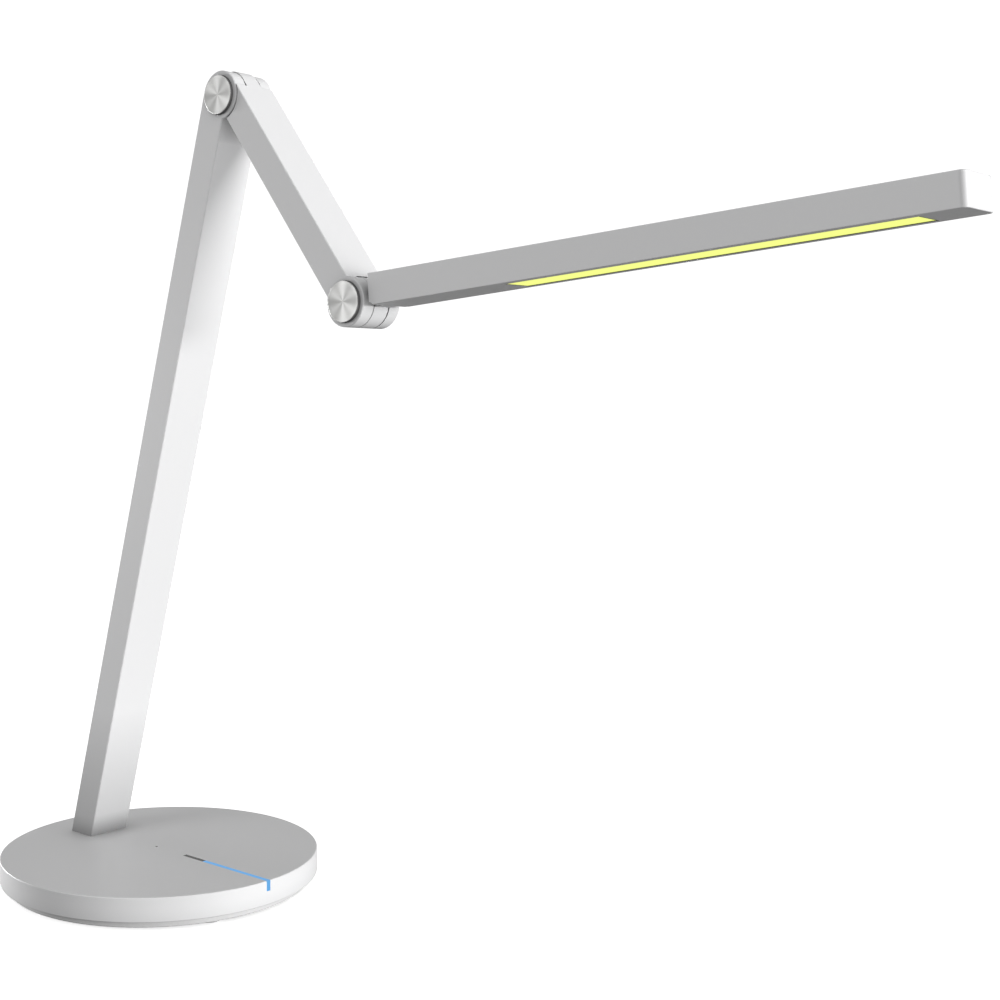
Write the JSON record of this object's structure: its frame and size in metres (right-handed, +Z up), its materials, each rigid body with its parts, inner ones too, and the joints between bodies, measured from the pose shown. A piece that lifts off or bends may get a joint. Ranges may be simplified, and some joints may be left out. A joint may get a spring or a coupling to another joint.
{
  "type": "desk lamp",
  "caption": "Desk lamp with a round weighted base, a leaning lower arm, a folding upper arm and a bar head with a diffused light window underneath.",
  "frame": {"origin": "on the desk at the centre of the round base, 1.5 mm below the base plate's flat underside, where the feet stand", "axes": "+Z up, +X from the arm's foot towards the head, +Y across the arms"},
  "size_m": [0.6201, 0.2, 0.5016],
  "materials": {
    "painted_shell": "satin",
    "base_plastic": "matte",
    "weight_iron": "rough",
    "foot_rubber": "matte",
    "pad_plastic": "gloss",
    "light_guide": "gloss",
    "diffuser": "matte",
    "reflector": "matte",
    "board_metal": "matte",
    "bare_aluminium": "satin",
    "led": "matte",
    "board_green": "satin",
    "chip": "matte",
    "jack_plastic": "matte",
    "brass_pin": "satin",
    "steel": "brushed",
    "friction_plastic": "matte",
    "spun_cap": "brushed",
    "cable": "matte"
  },
  "bodies": {
    "base": {"arm_bracket": "steel", "base_cable": "cable", "base_cover": "painted_shell", "base_plate": "base_plastic", "base_weight": "weight_iron", "bracket_screws": "steel", "control_board": "board_green", "control_chips": "chip", "dc_jack": "jack_plastic", "dc_jack_pin": "brass_pin", "jack_board": "board_green", "lower_arm": "painted_shell", "lower_arm_cover": "painted_shell", "lower_cable": "cable", "plate_screws": "steel", "rubber_feet": "foot_rubber", "sensor_window": "pad_plastic", "strip_leds": "led", "top_cap_front": "spun_cap", "top_cap_rear": "spun_cap", "top_nut": "steel", "top_pin": "steel", "top_spring_washers": "steel", "touch_light_guide": "light_guide", "touch_pad": "pad_plastic"},
    "upper_arm": {"upper_arm": "painted_shell", "upper_arm_cover": "painted_shell", "upper_cable": "cable", "top_bush": "brass_pin", "top_friction_discs": "friction_plastic", "elbow_pin": "steel", "elbow_nut": "steel", "elbow_spring_washers": "steel", "elbow_cap_front": "spun_cap", "elbow_cap_rear": "spun_cap"},
    "head": {"head_hinge": "painted_shell", "hinge_screws": "steel", "elbow_bush": "brass_pin", "elbow_friction_discs": "friction_plastic", "head_housing": "painted_shell", "head_lid": "painted_shell", "diffuser": "diffuser", "reflector": "reflector", "led_board": "board_metal", "leds": "led", "heat_spreader": "bare_aluminium", "head_cable": "cable", "driver_board": "board_green", "driver_parts": "chip"}
  },
  "joints": [
    {"name": "top_hinge", "type": "hinge", "parent": "base", "child": "upper_arm", "pos_m": [0.0752, 0, 0.4866], "axis": [0, 1, 0], "range_deg": [-126, 12]},
    {"name": "elbow_hinge", "type": "hinge", "parent": "upper_arm", "child": "head", "pos_m": [0.17744, 0, 0.36084], "axis": [0, 1, 0], "range_deg": [-50, 60]}
  ]
}
